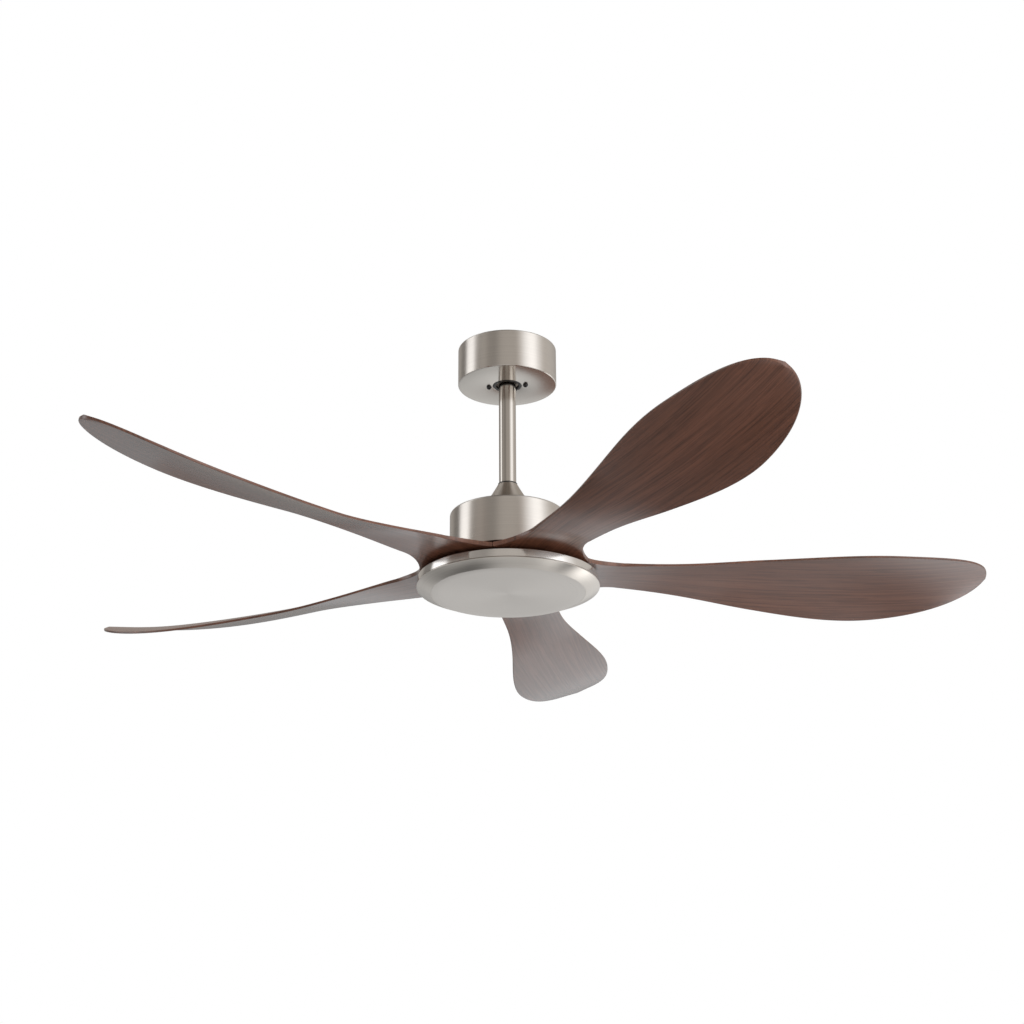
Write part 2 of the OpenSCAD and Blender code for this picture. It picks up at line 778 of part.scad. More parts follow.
root_steps = 2;
flare_steps = 8;
span_steps = 18;
blade_x = concat(
    [for (i = [0 : root_steps]) root_x + (crotch_x - root_x) * i / root_steps],
    [for (i = [1 : flare_steps]) crotch_x + (flare_x - crotch_x) * pow(i / flare_steps, 1.5)],
    [for (i = [1 : span_steps])
        flare_x + (tip_r * tip_share - flare_x) * sin(90 * i / span_steps)]
);

module blade_body() {
    n = 16;
    last = len(blade_x) - 1;
    points = [for (x = blade_x) let (p = blade_pitch(x), z = blade_z(x)) for (s = section(x))
        [x, s[0] * cos(p) + s[1] * sin(p), z - s[0] * sin(p) + s[1] * cos(p)]];
    sides = [for (k = [0 : last - 1]) for (i = [0 : n - 1])
        let (j = (i + 1) % n, a = k * n, b = a + n)
            each [[a + i, a + j, b + j], [a + i, b + j, b + i]]];
    root = [for (i = [0 : n - 1]) n - 1 - i];
    tip = [for (i = [0 : n - 1]) last * n + i];
    polyhedron(points, concat(sides, [root, tip]));
}

module blade(i) {
    color(wood) rotate([0, 0, rest_angle + 360 / blade_count * (i - 1)]) difference() {
        blade_body();
        for (at = blade_screw_at)
            translate([at[0], at[1], blade_z0 - eps])
                cylinder(r = blade_hole_r, h = root_t + 2 * eps);
    }
}

// ---- bottom trim ----

module trim_pan() {
    z0 = band_z0;
    z1 = band_z1;
    hole = shaft_r + shaft_play;
    c = pan_round;
    profile = concat(
        [[hole, z1]],
        arc(band_r - c, z1 - c, c, 90, 0, 4),
        [[band_r, z0], [band_r - pan_wall, z0]],
        arc(band_r - c, z1 - c, c - pan_wall, 0, 90, 2),
        [[hole, z1 - pan_wall]]
    );
    color(nickel) rotate_extrude() polygon(profile);
}

module support_plate() {
    color(steel) ring(plate_r, shaft_r + shaft_play, support_z, support_z + support_t);
}

module shaft_washer() {
    color(steel) ring(washer_r, shaft_r + shaft_play, washer_z, support_z);
}

module shaft_nut() {
    color(steel) translate([0, 0, washer_z - nut_h]) difference() {
        cylinder(r = nut_r, h = nut_h, $fn = 6);
        translate([0, 0, -eps]) cylinder(r = shaft_r + fit, h = nut_h + 2 * eps);
    }
}

// Circuit board on four posts, with two capacitors and a coil
module driver_board() {
    size = board_size;
    z = under_z + board_h;
    near = board_inset;
    capacitor = [5, 9];
    coil = [22, 16, 7];
    color(green) translate([board_at[0], board_at[1], z]) {
        cube(size);
        for (x = [near, size[0] - near]) for (y = [near, size[1] - near])
            translate([x, y, 0]) cylinder(r = 2, h = support_z - z);
        for (x = [16, 32])
            translate([x, 32, 0]) cylinder(r = capacitor[0], h = capacitor[1]);
        translate([48, 12, 0]) cube(coil);
    }
}

module ring_posts() {
    z0 = ring_flange_z + ring_t;
    color(steel) around(post_count, 30) translate([post_at_r, 0, z0]) difference() {
        cylinder(r = post_r, h = band_z1 - pan_wall - z0);
        translate([0, 0, -eps]) cylinder(r = post_screw_r + fit, h = post_screw_l + 1);
    }
}

module ring_screws() {
    color(steel) around(post_count, 30) translate([post_at_r, 0, ring_flange_z])
        screw_up(post_screw_r, post_screw_l, post_screw_head[0], post_screw_head[1]);
}

module bevel_ring() {
    z0 = under_z;
    shelf = ring_flange_z;
    tongue_r = band_r - pan_wall - disc_gap;
    flange_r0 = post_at_r - ring_flange_w;
    color(nickel) difference() {
        rotate_extrude() polygon([
            [disc_r, z0], [disc_r + ring_t / 2, z0],
            [bevel_r, lip_z - eps], [bevel_r - eps, lip_z],
            [tongue_r, lip_z], [tongue_r, lip_z + tongue_h],
            [tongue_r - ring_t, lip_z + tongue_h], [tongue_r - ring_t, lip_z - ring_t / 2],
            [disc_r + 2.5 * ring_t, z0 + 2 * ring_t], [disc_r + ring_t, shelf + ring_t],
            [flange_r0, shelf + ring_t], [flange_r0, shelf], [disc_r, shelf]
        ]);
        around(post_count, 30) translate([post_at_r, 0, shelf - eps])
            cylinder(r = post_screw_r + fit, h = ring_t + 2 * eps);
    }
}

module cover_disc() {
    r = disc_r - disc_gap;
    z0 = under_z;
    c = disc_corner;
    color(nickel) rotate_extrude() polygon(concat(
        [[0, z0]],
        arc(r - c, z0 + c, c, -90, 0, 3),
        [[r, z0 + disc_rim_h], [r - disc_t, z0 + disc_rim_h], [r - disc_t, z0 + disc_t],
            [0, z0 + disc_t]]
    ));
}

// Spring clips that hold the disc on the ring's flange
module disc_clips() {
    foot = [9, 12, 1];
    hook = [7, 12, 0.8];
    z0 = under_z + disc_t;
    z1 = ring_flange_z + ring_t + 0.2;
    color(steel) around(post_count, 90) translate([post_at_r - 8, -foot[1] / 2, 0]) {
        translate([-foot[0], 0, z0]) cube(foot);
        translate([-1, 0, z0]) cube([1, foot[1], z1 - z0 + 0.2]);
        translate([-1, 0, z1]) cube(hook);
    }
}

// ---- assembly ----

ceiling_bracket();
canopy();
canopy_ring();
canopy_screws();
receiver();
terminal_block();
ground_screw();
hanger_ball();
ball_cross_pin();
ball_set_screw();
downrod();
motor_lead();
lead_plug();
coupling_cover();
cover_grommet();
shaft_coupling();
clevis_pin();
cotter_pin();
coupling_set_screws();
motor_housing();
housing_screws();
motor_shaft();
stator_core();
windings();
upper_bearing_inner();
upper_bearing_outer();
lower_bearing_inner();
lower_bearing_outer();
bearing_balls();
rotor_top_cover();
rotor_ring();
magnets();
rotor_flange();
blade_gaskets();
blade_screws();
blade(1);  // blade_1
blade(2);  // blade_2
blade(3);  // blade_3
blade(4);  // blade_4
blade(5);  // blade_5
trim_pan();
support_plate();
shaft_washer();
shaft_nut();
driver_board();
ring_posts();
ring_screws();
bevel_ring();
cover_disc();
disc_clips();
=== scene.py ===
"""Ceiling fan: five carved walnut blades under a brushed nickel drum, hung from a round canopy."""
import json
import math

import bmesh
import bpy
from mathutils import Matrix, Vector


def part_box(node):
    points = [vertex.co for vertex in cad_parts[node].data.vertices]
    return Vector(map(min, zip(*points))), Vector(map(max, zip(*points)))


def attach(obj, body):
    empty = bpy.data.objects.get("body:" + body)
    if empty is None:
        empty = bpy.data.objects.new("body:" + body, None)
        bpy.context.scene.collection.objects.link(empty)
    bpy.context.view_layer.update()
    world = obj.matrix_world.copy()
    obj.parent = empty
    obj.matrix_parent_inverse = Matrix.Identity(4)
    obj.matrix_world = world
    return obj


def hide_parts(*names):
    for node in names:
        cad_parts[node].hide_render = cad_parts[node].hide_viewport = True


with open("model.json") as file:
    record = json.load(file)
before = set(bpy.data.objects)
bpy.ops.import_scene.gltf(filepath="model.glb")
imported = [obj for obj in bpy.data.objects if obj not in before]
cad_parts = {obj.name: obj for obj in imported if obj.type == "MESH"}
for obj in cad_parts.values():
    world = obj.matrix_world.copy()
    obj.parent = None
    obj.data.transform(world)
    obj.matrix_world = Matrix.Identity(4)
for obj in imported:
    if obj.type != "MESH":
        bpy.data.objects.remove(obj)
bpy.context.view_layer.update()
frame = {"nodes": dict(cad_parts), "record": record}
nodes = frame["nodes"]

MM = 0.001
SEGMENTS = 256              # round a large turned part
SHARP = math.radians(28)    # edges sharper than this stay crisp


# ---- node helpers ----

class Nodes:
    """A node tree, and short calls that add nodes to it."""

    def __init__(self, tree):
        self.tree = tree

    def add(self, kind, **settings):
        node = self.tree.nodes.new("ShaderNode" + kind)
        for key, value in settings.items():
            if hasattr(node, key):
                setattr(node, key, value)
            else:
                node.inputs[key.replace("_", " ")].default_value = value
        return node

    def link(self, output, target):
        self.tree.links.new(output, target)

    def ramp(self, value, stops):
        """Maps a value through (place, grey or colour) stops."""
        node = self.add("ValToRGB")
        points = node.color_ramp.elements
        while len(points) < len(stops):
            points.new(0.5)
        for point, (place, colour) in zip(points, stops):
            point.position = place
            if isinstance(colour, (int, float)):
                colour = (colour, colour, colour)
            point.color = (*colour, 1.0)
        self.link(value, node.inputs["Fac"])
        return node.outputs["Color"]

    def math(self, operation, a, b):
        node = self.add("Math", operation=operation)
        for socket, value in zip(node.inputs, (a, b)):
            if isinstance(value, (int, float)):
                socket.default_value = value
            else:
                self.link(value, socket)
        return node.outputs["Value"]

    def mix(self, factor, a, b, blend="MIX"):
        """Mixes two colours. Inputs 6 and 7 of the node are its colours, and so is output 2."""
        node = self.add("Mix", data_type="RGBA", blend_type=blend)
        for socket, value in zip((node.inputs[0], node.inputs[6], node.inputs[7]), (factor, a, b)):
            if isinstance(value, bpy.types.NodeSocket):
                self.link(value, socket)
            elif isinstance(value, tuple):
                socket.default_value = (*value, 1.0)
            else:
                socket.default_value = value
        return node.outputs[2]


class Shader(Nodes):
    """A material with one Principled shader."""

    def __init__(self, name, **sockets):
        self.material = bpy.data.materials.new(name)
        self.material.use_nodes = True
        super().__init__(self.material.node_tree)
        self.bsdf = self.tree.nodes["Principled BSDF"]
        for key, value in sockets.items():
            self.bsdf.inputs[key.replace("_", " ")].default_value = value

    def stretched(self, source, scale):
        """A node's vector, scaled along each axis."""
        mapping = self.add("Mapping")
        mapping.inputs["Scale"].default_value = scale
        self.link(source, mapping.inputs["Vector"])
        return mapping.outputs["Vector"]

    def coords(self, scale):
        """Object coordinates, in metres, scaled along each axis."""
        return self.stretched(self.add("TexCoord").outputs["Object"], scale)

    def noise(self, vector, detail=3.0, roughness=0.5):
        node = self.add("TexNoise", Scale=1.0, Detail=detail, Roughness=roughness)
        self.link(vector, node.inputs["Vector"])
        return node.outputs["Fac"]

    def drive(self, target, value, stops):
        """A value, mapped through stops, goes to one of the shader's sockets."""
        self.link(self.ramp(value, stops), self.bsdf.inputs[target])

    def bump(self, height, strength, distance):
        node = self.add("Bump")
        node.inputs["Strength"].default_value = strength
        node.inputs["Distance"].default_value = distance
        self.link(height, node.inputs["Height"])
        self.link(node.outputs["Normal"], self.bsdf.inputs["Normal"])


# ---- materials ----

WALNUT = ((0.074, 0.028, 0.015), (0.092, 0.036, 0.021), (0.112, 0.047, 0.029))
NICKEL = (0.63, 0.588, 0.545)
BRUSH_LINES = 1500      # per metre
BRUSH_WANDER = 2.5      # per metre, the slow change along a brush line


def times(colour, gain):
    return tuple(min(channel * gain, 1.0) for channel in colour)


def brushed_rings(shader, lines):
    """Coordinates for rings on a flat face: the distance from the fan's axis drives the lines."""
    split = shader.add("SeparateXYZ")
    shader.link(shader.add("TexCoord").outputs["Object"], split.inputs["Vector"])
    square = shader.math("ADD", shader.math("MULTIPLY", split.outputs["X"], split.outputs["X"]),
                         shader.math("MULTIPLY", split.outputs["Y"], split.outputs["Y"]))
    radius = shader.math("POWER", square, 0.5)
    join = shader.add("CombineXYZ")
    for axis in "XY":
        shader.link(shader.math("MULTIPLY", split.outputs[axis], BRUSH_WANDER), join.inputs[axis])
    shader.link(shader.math("MULTIPLY", radius, lines), join.inputs["Z"])
    return join.outputs["Vector"]


def turned_metal(name, colour, roughness, anisotropy, line_depth, rings=False, contrast=0.12,
                 lines=BRUSH_LINES):
    """Metal brushed round the fan's axis: lines up a wall, or rings on a flat face."""
    shader = Shader(name, Metallic=1.0, Anisotropic=anisotropy, Anisotropic_Rotation=0.25)
    tangent = shader.add("Tangent", direction_type="RADIAL", axis="Z")
    shader.link(tangent.outputs["Tangent"], shader.bsdf.inputs["Tangent"])
    if rings:
        stretch = brushed_rings(shader, lines)
    else:
        stretch = shader.coords((BRUSH_WANDER, BRUSH_WANDER, lines))
    fine = shader.noise(stretch, detail=4.0, roughness=0.7)
    broad = shader.noise(shader.coords((9, 9, 14)), detail=2.0)
    shader.drive("Base Color", fine, [(0.25, times(colour, 1 - 1.3 * contrast)),
                                      (0.75, times(colour, 1 + 0.7 * contrast))])
    mixed = shader.math("ADD", shader.math("MULTIPLY", fine, 0.6), shader.math("MULTIPLY", broad, 0.4))
    shader.drive("Roughness", mixed, [(0.3, roughness * 0.88), (0.7, roughness * 1.12)])
    shader.bump(fine, 0.25, line_depth)
    return shader.material


def mottled(shader, colour, roughness, grain_scale, cloud_scale, shade, spread, bump):
    """A fine grain in the gloss and the surface, and slow clouds in the colour."""
    grain = shader.noise(shader.coords((grain_scale,) * 3), detail=2.0)
    cloud = shader.noise(shader.coords((cloud_scale,) * 3), detail=2.0)
    shader.drive("Base Color", cloud, [(0.3, times(colour, shade)), (0.7, colour)])
    shader.drive("Roughness", grain, [(0.3, roughness * (1 - spread)), (0.7, roughness * (1 + spread))])
    shader.bump(grain, *bump)
    return shader.material


def plain_metal(name, colour, roughness, metallic=1.0):
    return mottled(Shader(name, Metallic=metallic), colour, roughness, grain_scale=400, cloud_scale=40,
                   shade=0.88, spread=0.15, bump=(0.15, 0.00005))


def plastic(name, colour, roughness):
    return mottled(Shader(name), colour, roughness, grain_scale=900, cloud_scale=60,
                   shade=0.85, spread=0.1, bump=(0.2, 0.00008))


def walnut(number):
    """Dark stained wood under a semi-gloss lacquer. The grain runs along the blade's own X axis."""
    shader = Shader(f"walnut_{number}", IOR=1.5, Specular_IOR_Level=0.15, Coat_Weight=1.0,
                    Coat_Roughness=0.20)
    shift = shader.add("Mapping")
    shift.inputs["Location"].default_value = (1.7 * number, 0.9 * number, 0)
    shader.link(shader.add("TexCoord").outputs["Object"], shift.inputs["Vector"])
    moved = shift.outputs["Vector"]
    # the grain wanders sideways by a few millimetres
    wander = shader.noise(shader.stretched(moved, (2.2, 3.0, 1.0)), detail=0.5)
    split = shader.add("SeparateXYZ")
    shader.link(moved, split.inputs["Vector"])
    join = shader.add("CombineXYZ")
    shader.link(split.outputs["X"], join.inputs["X"])
    shader.link(split.outputs["Z"], join.inputs["Z"])
    offset = shader.math("MULTIPLY", wander, 0.024)
    shader.link(shader.math("ADD", split.outputs["Y"], offset), join.inputs["Y"])
    grain = join.outputs["Vector"]
    figure = shader.noise(shader.stretched(grain, (1.6, 16, 2)), detail=2.0)
    streak = shader.noise(shader.stretched(grain, (4.5, 340, 12)), roughness=0.55)
    pore = shader.noise(shader.stretched(grain, (16, 800, 30)), detail=2.0)
    base = shader.ramp(figure, [(0.30, WALNUT[0]), (0.50, WALNUT[1]), (0.70, WALNUT[2])])
    lines = shader.ramp(streak, [(0.36, 0.78), (0.62, 1.15)])
    pores = shader.ramp(pore, [(0.36, 0.66), (0.46, 1.0)])
    colour = shader.mix(1.0, shader.mix(1.0, base, lines, "MULTIPLY"), pores, "MULTIPLY")
    shader.link(colour, shader.bsdf.inputs["Base Color"])
    shader.drive("Roughness", streak, [(0.3, 0.44), (0.7, 0.38)])
    shader.bump(shader.mix(0.5, lines, pores), 0.10, 0.0001)
    return shader.material


materials = {
    "drum": turned_metal("brushed_nickel_wall", NICKEL, 0.30, 0.9, 0.00003),
    "face": turned_metal("brushed_nickel_face", NICKEL, 0.32, 0.7, 0.00003, rings=True),
    # lighter and warmer than the other nickel: painted light on the bevel ring, the same metal brightened
    "bevel": turned_metal("brushed_nickel_bevel_painted_light", (0.67, 0.62, 0.565), 0.30, 0.7, 0.00002, rings=True,
                          contrast=0.08),
    # darker and warmer than the other nickel: painted shade on the cone, the same metal darkened
    "cone": turned_metal("brushed_nickel_cone_painted_shade", (0.52, 0.465, 0.405), 0.30, 0.9, 0.00003),
    "satin": turned_metal("satin_nickel_face", (0.60, 0.562, 0.515), 0.18, 0.6, 0.000004, rings=True,
                          contrast=0.05),
    "disc": turned_metal("brushed_nickel_disc", NICKEL, 0.30, 0.35, 0.00001, rings=True, contrast=0.05),
    # darker than the other nickel: painted shade on the downrod, the same metal darkened
    "rod": turned_metal("brushed_nickel_rod_painted_shade", (0.52, 0.48, 0.44), 0.12, 0.9, 0.000004, contrast=0.06,
                        lines=900),
    "band": turned_metal("polished_nickel", (0.70, 0.67, 0.64), 0.17, 0.88, 0.000004, contrast=0.04),
    "zinc": plain_metal("zinc_plate", (0.58, 0.59, 0.60), 0.38),
    "cast": plain_metal("cast_zinc", (0.78, 0.78, 0.77), 0.14),
    "steel": plain_metal("machined_steel", (0.50, 0.51, 0.52), 0.30),
    "dark_chrome": plain_metal("black_nickel", (0.05, 0.05, 0.05), 0.10),
    # darker than the black rubber: the ring round the rod is partly rubber and partly painted shade of the
    # gap in the canopy's hole
    "gloss_black": plastic("black_ring_rubber_and_painted_shade", (0.004, 0.004, 0.004), 0.35),
    # near black: where the rotor's flange shows in the gap under the housing, this black is partly paint and
    # partly painted shade of that gap
    "black_paint": plastic("black_paint", (0.012, 0.012, 0.012), 0.5),
    "rubber": plastic("black_rubber", (0.012, 0.012, 0.012), 0.45),
    "black_plastic": plastic("black_plastic", (0.02, 0.02, 0.02), 0.5),
    "pale_plastic": plastic("pale_plastic", (0.72, 0.70, 0.64), 0.45),
    "green": plain_metal("green_screw", (0.05, 0.30, 0.10), 0.35, metallic=0.4),
    "lamination": plain_metal("lamination", (0.30, 0.31, 0.32), 0.45),
    "copper": plain_metal("copper_wire", (0.62, 0.28, 0.12), 0.35),
    "magnet": plain_metal("magnet", (0.08, 0.08, 0.09), 0.4, metallic=0.5),
    "board": plastic("circuit_board", (0.03, 0.14, 0.07), 0.3),
}

# The record's slots, and what each looks like on a CAD node that stays
slot_looks = {
    "brushed_nickel": "drum", "polished_nickel": "band", "cast_zinc": "cast",
    "zinc_plate": "zinc", "machined_steel": "steel", "black_screw": "dark_chrome",
    "black_rubber": "rubber", "black_plastic": "black_plastic", "pale_plastic": "pale_plastic",
    "green_screw": "green", "lamination": "lamination", "copper_wire": "copper",
    "magnet": "magnet", "black_paint": "black_paint", "circuit_board": "board",
}
node_slot = {row["node"]: row["material_slot"] for row in frame["record"]["subparts"]}


def dress_cad():
    """Every CAD node gets its material. The blades are replaced further down."""
    for name, obj in nodes.items():
        obj.data.materials.clear()
        obj.data.materials.append(materials[slot_looks.get(node_slot[name], "steel")])


# ---- mesh helpers ----

def place_object(name, data):
    obj = bpy.data.objects.new(name, data)
    bpy.context.scene.collection.objects.link(obj)
    return obj


def finish_mesh(name, mesh, material, body, node, turn=0.0):
    """A visible piece that rides on a body and stands in for a CAD node. turn is about the fan's axis."""
    mesh.materials.append(material)
    mesh.shade_smooth()
    mesh.set_sharp_from_angle(angle=SHARP)
    obj = place_object(name, mesh)
    obj.matrix_world = Matrix.Rotation(turn, 4, "Z")
    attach(obj, body)
    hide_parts(node)
    return obj


def mesh_from(name, points, faces):
    mesh = bpy.data.meshes.new(name)
    mesh.from_pydata(points, [], faces)
    mesh.update()
    return mesh


def arc(centre, radius, start, end, steps):
    """Points (r, z) round part of a circle, angles in degrees."""
    return [(centre[0] + radius * math.cos(math.radians(start + (end - start) * i / steps)),
             centre[1] + radius * math.sin(math.radians(start + (end - start) * i / steps)))
            for i in range(steps + 1)]


def revolved(name, profile, segments=SEGMENTS, closed=True):
    """A closed profile of (r, z) points turned round the fan's axis. A point at r = 0 is one vertex."""
    points, rings = [], []
    for r, z in profile:
        if r < 1e-7:
            rings.append([len(points)] * segments)
            points.append((0, 0, z))
        else:
            rings.append(list(range(len(points), len(points) + segments)))
            points += [(r * math.cos(2 * math.pi * k / segments),
                        r * math.sin(2 * math.pi * k / segments), z) for k in range(segments)]
    faces = []
    pairs = list(zip(rings, rings[1:] + rings[:1])) if closed else list(zip(rings, rings[1:]))
    for low, high in pairs:
        for k in range(segments):
            n = (k + 1) % segments
            corner = [low[k], low[n], high[n], high[k]]
            face = [c for i, c in enumerate(corner) if c not in corner[:i]]
            if len(face) >= 3:
                faces.append(face)
    mesh = mesh_from(name, points, faces)
    heal(mesh)
    return mesh


def heal(mesh):
    """Makes the normals point out."""
    work = bmesh.new()
    work.from_mesh(mesh)
    bmesh.ops.recalc_face_normals(work, faces=work.faces)
    work.to_mesh(mesh)
    work.free()


def turned_piece(name, profile, look, body, node, segments=SEGMENTS, closed=True):
    return finish_mesh(name, revolved(name, profile, segments, closed), materials[look], body, node)


def span(node):
    """(radius, lowest z, highest z) of a round CAD node."""
    low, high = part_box(node)
    return max(high.x, high.y), low.z, high.z


# ---- turned parts ----

def paint_flat_faces(obj, look):
    """Faces that look up or down get the ring-brushed metal."""
    level = 0.9
    obj.data.materials.append(materials[look])
    for face in obj.data.polygons:
        if abs(face.normal.z) > level:
            face.material_index = 1


def make_canopy():
    radius, z0, z1 = span("canopy")
    wall, top_corner, foot_corner, edge = 1.0 * MM, 3.0 * MM, 1.5 * MM, 0.4 * MM
    hole = 22.9 * MM
    profile = (
        arc((radius - top_corner, z1 - top_corner), top_corner, 90, 0, 10)
        + arc((radius - foot_corner, z0 + foot_corner), foot_corner, 0, -90, 8)
        + arc((hole + edge, z0 + edge), edge, -90, -180, 4)
        + [(hole, z0 + wall)]
        + arc((radius - foot_corner, z0 + foot_corner), foot_corner - wall, -90, 0, 3)
        + arc((radius - top_corner, z1 - top_corner), top_corner - wall, 0, 90, 6)
    )
    canopy = turned_piece("canopy_shell", profile, "drum", "ceiling_mount", "canopy")
    paint_flat_faces(canopy, "satin")


def make_canopy_ring():
    radius, z0, z1 = span("canopy_ring")
    inner, outer, corner = 18.2 * MM, 22.8 * MM, 1.2 * MM
    flange_low, flange_high = z0 + 1.6 * MM, z0 + 3 * MM
    profile = (
        arc((inner + corner, z0 + corner), corner, 180, 270, 6)
        + arc((outer - corner, z0 + corner), corner, 270, 360, 6)
        + [(outer, flange_low), (radius, flange_low), (radius, flange_high), (inner, z1)]
    )
    # near black, partly rubber and partly painted shade of the gap round the rod
    turned_piece("rubber_ring", profile, "gloss_black", "ceiling_mount", "canopy_ring", segments=96)


def make_downrod():
    radius, z0, z1 = span("downrod")
    wall = 2.1 * MM
    profile = [(radius, z0), (radius, z1), (radius - wall, z1), (radius - wall, z0)]
    turned_piece("rod_tube", profile, "rod", "hanging_frame", "downrod", segments=128)


def make_coupling_cover():
    """The cone's side is one curve from its top, past a bend point, to its foot."""
    radius, z0, z1 = span("coupling_cover")
    top, wall, edge = 15.3 * MM, 0.8 * MM, 0.35 * MM
    bend = (top + 7.9 * MM, z1 - 15.7 * MM)
    steps = 32
    outside = []
    for i in range(steps + 1):
        t = i / steps
        weights = ((1 - t) ** 2, 2 * t * (1 - t), t * t)
        outside.append(tuple(sum(w * p[k] for w, p in zip(weights, ((top, z1), bend, (radius, z0))))
                             for k in (0, 1)))
    rim = arc((top - edge, z1 - edge), edge, 80, 20, 4)
    inside = [(r - wall, z) for r, z in reversed(outside)]
    turned_piece("cone_cover", rim + outside[1:] + inside, "cone", "hanging_frame", "coupling_cover",
                 segments=160)


def cup_profile(node, wall, corner, edge, hole, steps):
    """A cup that is open below, with a hole in its top. steps are those of its three arcs."""
    radius, z0, z1 = span(node)
    corner_steps, edge_steps, inner_steps = steps
    return (
        [(hole, z1)]
        + arc((radius - corner, z1 - corner), corner, 90, 0, corner_steps)
        + arc((radius - edge, z0 + edge), edge, 0, -90, edge_steps)
        + [(radius - wall, z0)]
        + arc((radius - corner, z1 - corner), corner - wall, 0, 90, inner_steps)
        + [(hole, z1 - wall)]
    )


def make_motor_housing():
    profile = cup_profile("motor_housing", wall=1.2 * MM, corner=4.0 * MM, edge=0.4 * MM,
                          hole=10.5 * MM, steps=(12, 4, 8))
    housing = turned_piece("housing_drum", profile, "drum", "hanging_frame", "motor_housing")
    paint_flat_faces(housing, "face")


def make_trim_pan():
    profile = cup_profile("trim_pan", wall=1.0 * MM, corner=1.5 * MM, edge=0.3 * MM,
                          hole=8.7 * MM, steps=(8, 3, 4))
    turned_piece("polished_band", profile, "band", "hanging_frame", "trim_pan")


def make_bevel_ring():
    radius, z0, z1 = span("bevel_ring")
    inner = span("cover_disc")[0] + 0.05 * MM
    lip = z0 + 10.2 * MM        # a shadow line stays open under the polished band
    corner, edge, wall = 0.65 * MM, 0.2 * MM, 1.2 * MM
    tongue = span("trim_pan")[0] - 1.3 * MM
    back_of_lip = lip - 0.8 * MM
    back_of_bevel = (inner + 3 * MM, z0 + 2.4 * MM)
    shelf, shelf_inner = z0 + 6 * MM, inner - 13.9 * MM
    profile = (
        arc((inner + edge, z0 + edge), edge, 190, 290, 4)
        + arc((radius - corner, lip - corner), corner, -62, 90, 10)
        + [(tongue, lip), (tongue, z1), (tongue - wall, z1), (tongue - wall, back_of_lip),
           back_of_bevel, (inner + 1.4 * MM, shelf + wall),
           (shelf_inner, shelf + wall), (shelf_inner, shelf), (inner + 0.15 * MM, shelf)]
    )
    turned_piece("bevelled_ring", profile, "bevel", "hanging_frame", "bevel_ring")


def make_cover_disc():
    radius, z0, z1 = span("cover_disc")
    sheet, corner = 1.0 * MM, 0.25 * MM
    rings = 8
    profile = (
        [(radius * k / rings, z0) for k in range(rings)]
        + arc((radius - corner, z0 + corner), corner, -90, 0, 6)
        + [(radius, z1), (radius - sheet, z1), (radius - sheet, z0 + sheet), (0, z0 + sheet)]
    )
    turned_piece("brushed_disc", profile, "disc", "hanging_frame", "cover_disc", closed=False)


# ---- screws under the canopy ----

def make_canopy_screws():
    """Two round heads, each with a small recess in its middle, joined into one piece."""
    low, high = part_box("canopy_screws")
    foot = span("canopy")[1]
    place, head, shank = 29 * MM, foot - low.z, 2 * MM
    recess_radius, recess_depth = 0.8 * MM, 0.9 * MM
    points, faces = [], []
    for side in (-1, 1):
        profile = [(0.0, low.z + recess_depth), (recess_radius, low.z + recess_depth)]
        profile += arc((0, foot), head, -76, 0, 12)
        profile += [(head * 0.5, foot), (shank, foot), (shank, high.z), (0, high.z)]
        part = revolved("screw", profile, 48, closed=False)
        part.transform(Matrix.Translation((side * place, 0, 0)))
        start = len(points)
        points += [tuple(v.co) for v in part.vertices]
        faces += [[start + i for i in face.vertices] for face in part.polygons]
    finish_mesh("round_head_screws", mesh_from("round_head_screws", points, faces),
                materials["dark_chrome"], "ceiling_mount", "canopy_screws")


# ---- blades ----

BLADES = 5
REST_ANGLE = 16.5
WAIST, BELLY = 92.2 * MM, 178.5 * MM
WAIST_X, BELLY_X = 240 * MM, 598 * MM
TIP_POWER = 7.48
PITCH, TWIST_X0, TWIST_X1 = 18.0, 120.7 * MM, 387.2 * MM
RISE, RISE_X = 7.5 * MM, 167 * MM
DROOP = 1.6
CURL, CURL_X, CURL_POWER = 40.9 * MM, 264.6 * MM, 3.58
CROTCH_R = 136.3 * MM
ROOT_T, EDGE_T, CROWN = 6.9 * MM, 3.5 * MM, 3.0 * MM
CAMBER = 6.0 * MM
SEAM = 0.9 * MM
TIP_R = 762 * MM
LAST_STATION = 0.99995      # of the tip's radius, because the chord closes to nothing at the tip itself
ROOT_X = 50 * MM
ROUNDING, ROUNDING_GAIN = 0.3, 0.4      # of half the edge's thickness: at the root, and more at the belly

half_sector = math.radians(180 / BLADES)
crotch_x = CROTCH_R * math.cos(half_sector)
flare_r = (CROTCH_R * math.sin(half_sector) - WAIST / 2) / (1 - math.sin(half_sector))
flare_x = (CROTCH_R + flare_r) * math.cos(half_sector)
flare_y = (CROTCH_R + flare_r) * math.sin(half_sector)


def smooth(t):
    t = min(max(t, 0.0), 1.0)
    return t * t * (3 - 2 * t)


def blade_pitch(x):
    return math.radians(PITCH) * smooth((x - TWIST_X0) / (TWIST_X1 - TWIST_X0))


def blade_rise(x):
    return (RISE * (1 - (1 - min(max((x - crotch_x) / (RISE_X - crotch_x), 0), 1)) ** 2)
            - math.tan(math.radians(DROOP)) * max(x - crotch_x, 0)
            + CURL * (max(x - CURL_X, 0) / (TIP_R - CURL_X)) ** CURL_POWER)


